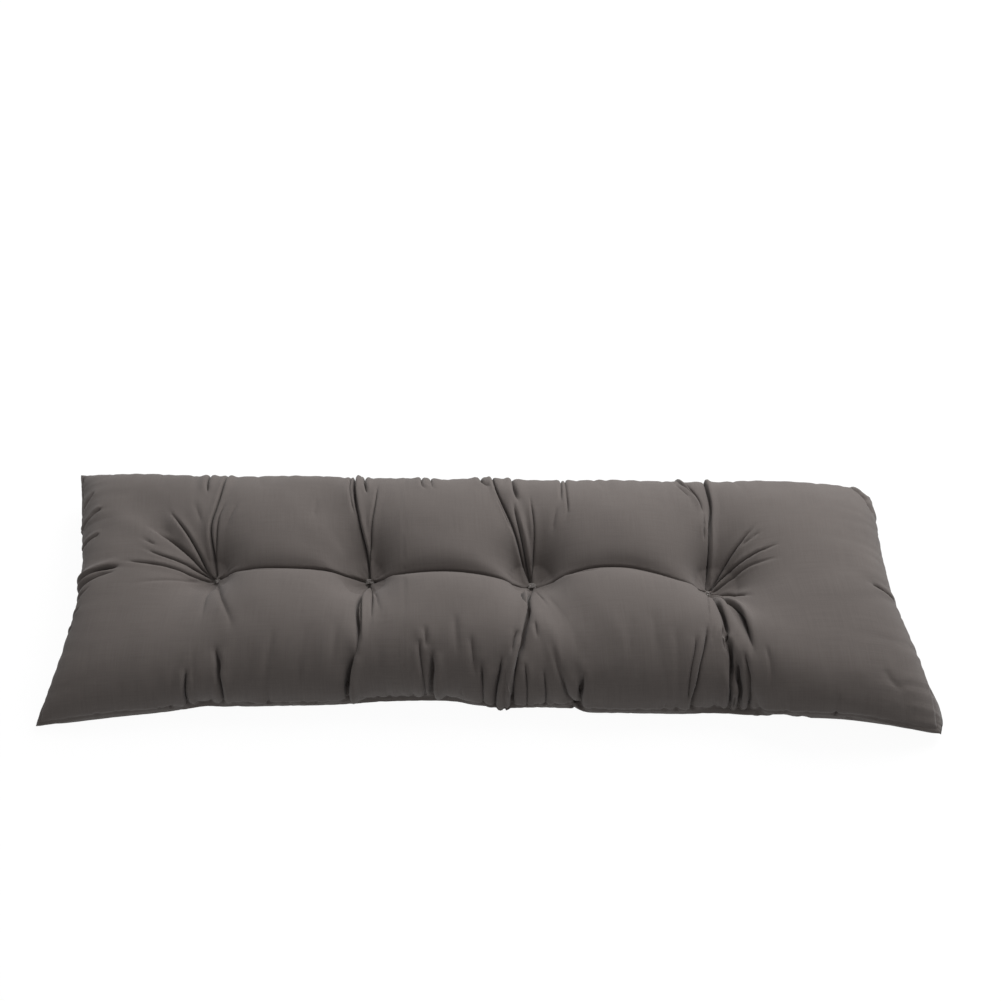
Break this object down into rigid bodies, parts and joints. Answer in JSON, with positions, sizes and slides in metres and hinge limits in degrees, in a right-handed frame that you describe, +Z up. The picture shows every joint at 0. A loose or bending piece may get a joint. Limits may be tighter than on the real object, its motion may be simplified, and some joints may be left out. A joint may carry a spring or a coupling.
{
  "type": "bench cushion",
  "caption": "Long soft seat cushion: filled cloth cover with a plain edge seam, tied through in a row so that it puckers into plump lobes.",
  "frame": {"origin": "on the floor, under the middle of the cushion's bounding box", "axes": "+X along the cushion's length to the right, +Y to its back edge, +Z up out of its top"},
  "size_m": [1.2122, 0.4512, 0.1069],
  "materials": {
    "cloth": "plain weave, matte",
    "thread": "twisted thread, soft sheen"
  },
  "bodies": {
    "root": {"cushion": "cloth", "tie_top_1": "thread", "tie_top_2": "thread", "tie_top_3": "thread", "tie_top_4": "thread", "tie_under_1": "thread", "tie_under_2": "thread", "tie_under_3": "thread", "tie_under_4": "thread"}
  },
  "joints": []
}
